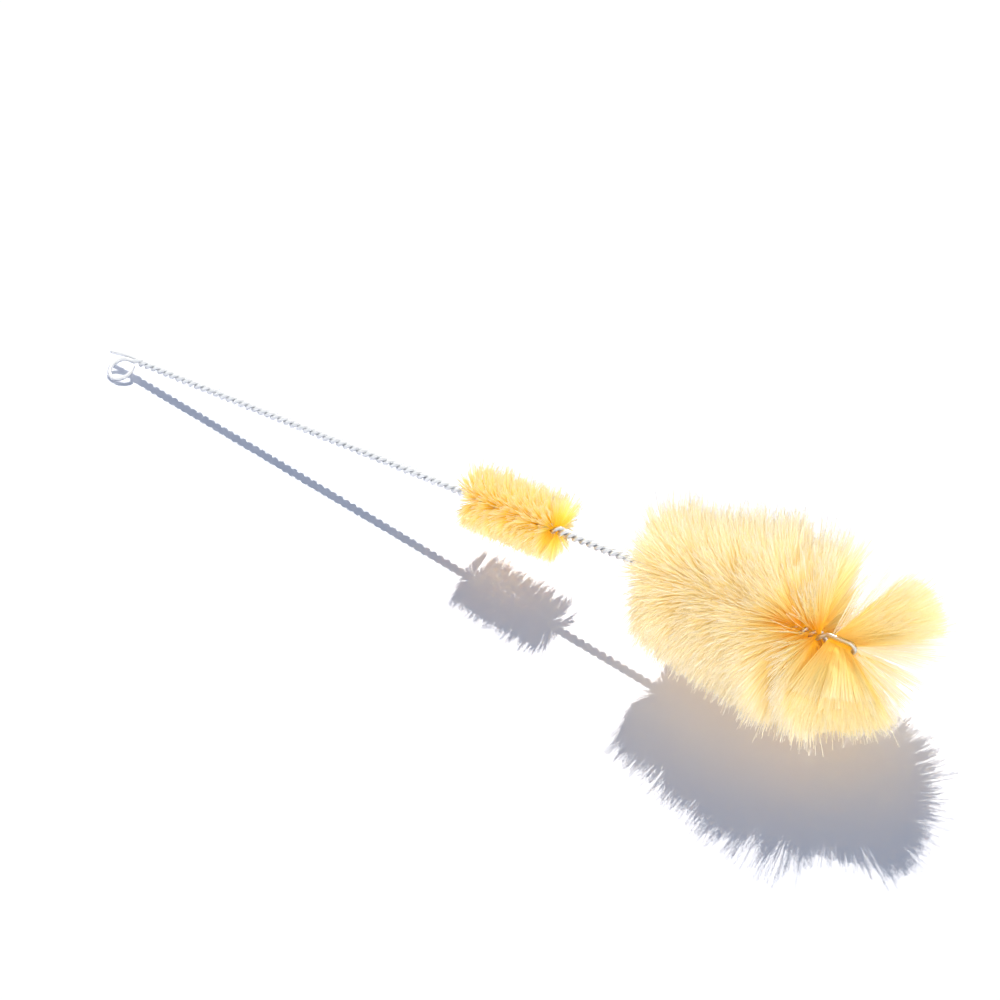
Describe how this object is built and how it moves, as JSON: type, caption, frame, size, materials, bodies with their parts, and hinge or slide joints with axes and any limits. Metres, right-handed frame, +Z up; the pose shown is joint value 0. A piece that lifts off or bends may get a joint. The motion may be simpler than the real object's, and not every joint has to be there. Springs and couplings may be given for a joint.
{
  "type": "bottle brush",
  "caption": "Twisted-wire bottle brush with a narrow neck tuft, a wide flared body tuft with a fanned tip, and a hanging eye at the handle.",
  "frame": {"origin": "middle of the overall length and width, on the surface that the brush lies on", "axes": "+X from the hanging eye towards the tip along the floor, +Z up; the stem rises towards the tip at about 5.5 degrees"},
  "size_m": [0.4292, 0.0878, 0.0849],
  "materials": {
    "zinc_wire": "bright zinc-plated steel wire, smooth",
    "neck_bristle": "stiff golden bristle, slightly glossy",
    "body_bristle": "pale cream-yellow bristle with lighter tips, slightly glossy"
  },
  "bodies": {
    "root": {"stem_wire": "zinc_wire", "neck_tuft": "neck_bristle", "body_tuft": "body_bristle", "tip_tuft": "body_bristle"}
  },
  "joints": []
}
